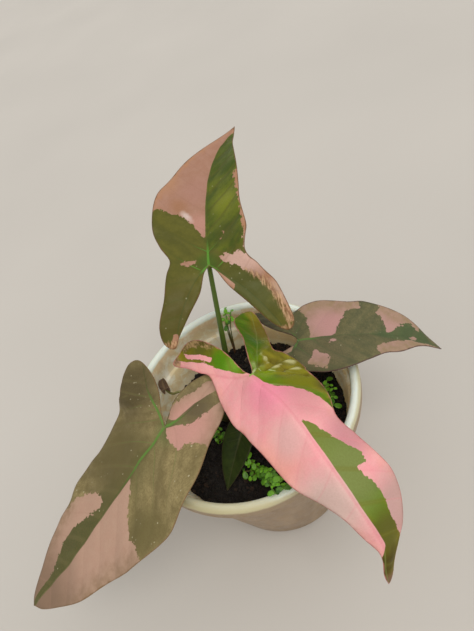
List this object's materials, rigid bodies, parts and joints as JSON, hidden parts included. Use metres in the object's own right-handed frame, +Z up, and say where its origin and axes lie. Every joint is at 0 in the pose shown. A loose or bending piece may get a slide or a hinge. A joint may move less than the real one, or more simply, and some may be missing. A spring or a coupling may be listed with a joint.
{
  "type": "potted arrowhead plant",
  "caption": "Arrowhead plant with pink and green lobed leaves on slim petioles, standing in dark soil in a small round tapered white pot with tiny round-leaved weeds.",
  "frame": {"origin": "centre of the pot's flat base", "axes": "+Z up; -Y is the front that the large pink leaf hangs over; +X is the right side seen from the front"},
  "size_m": [0.1975, 0.173, 0.142],
  "materials": {
    "pot_plastic": "matt white plastic with soil stains",
    "potting_soil": "dark crumbly potting mix",
    "stem_green": "smooth green stem",
    "leaf_olive": "satin leaf, olive green with pink patches",
    "leaf_pink": "satin leaf, pink with green sectors",
    "leaf_dark": "satin dark green leaf",
    "leaf_brown": "dry brown leaf",
    "weed_green": "fresh green leaflets"
  },
  "bodies": {
    "root": {"pot": "pot_plastic", "soil": "potting_soil", "stem": "stem_green", "leaf_back": "leaf_olive", "leaf_right": "leaf_olive", "leaf_left": "leaf_olive", "leaf_front": "leaf_pink", "leaf_low": "leaf_dark", "leaf_withered": "leaf_brown", "weed_front": "weed_green", "weed_right": "weed_green", "weed_back": "weed_green", "weed_left": "weed_green"}
  },
  "joints": []
}
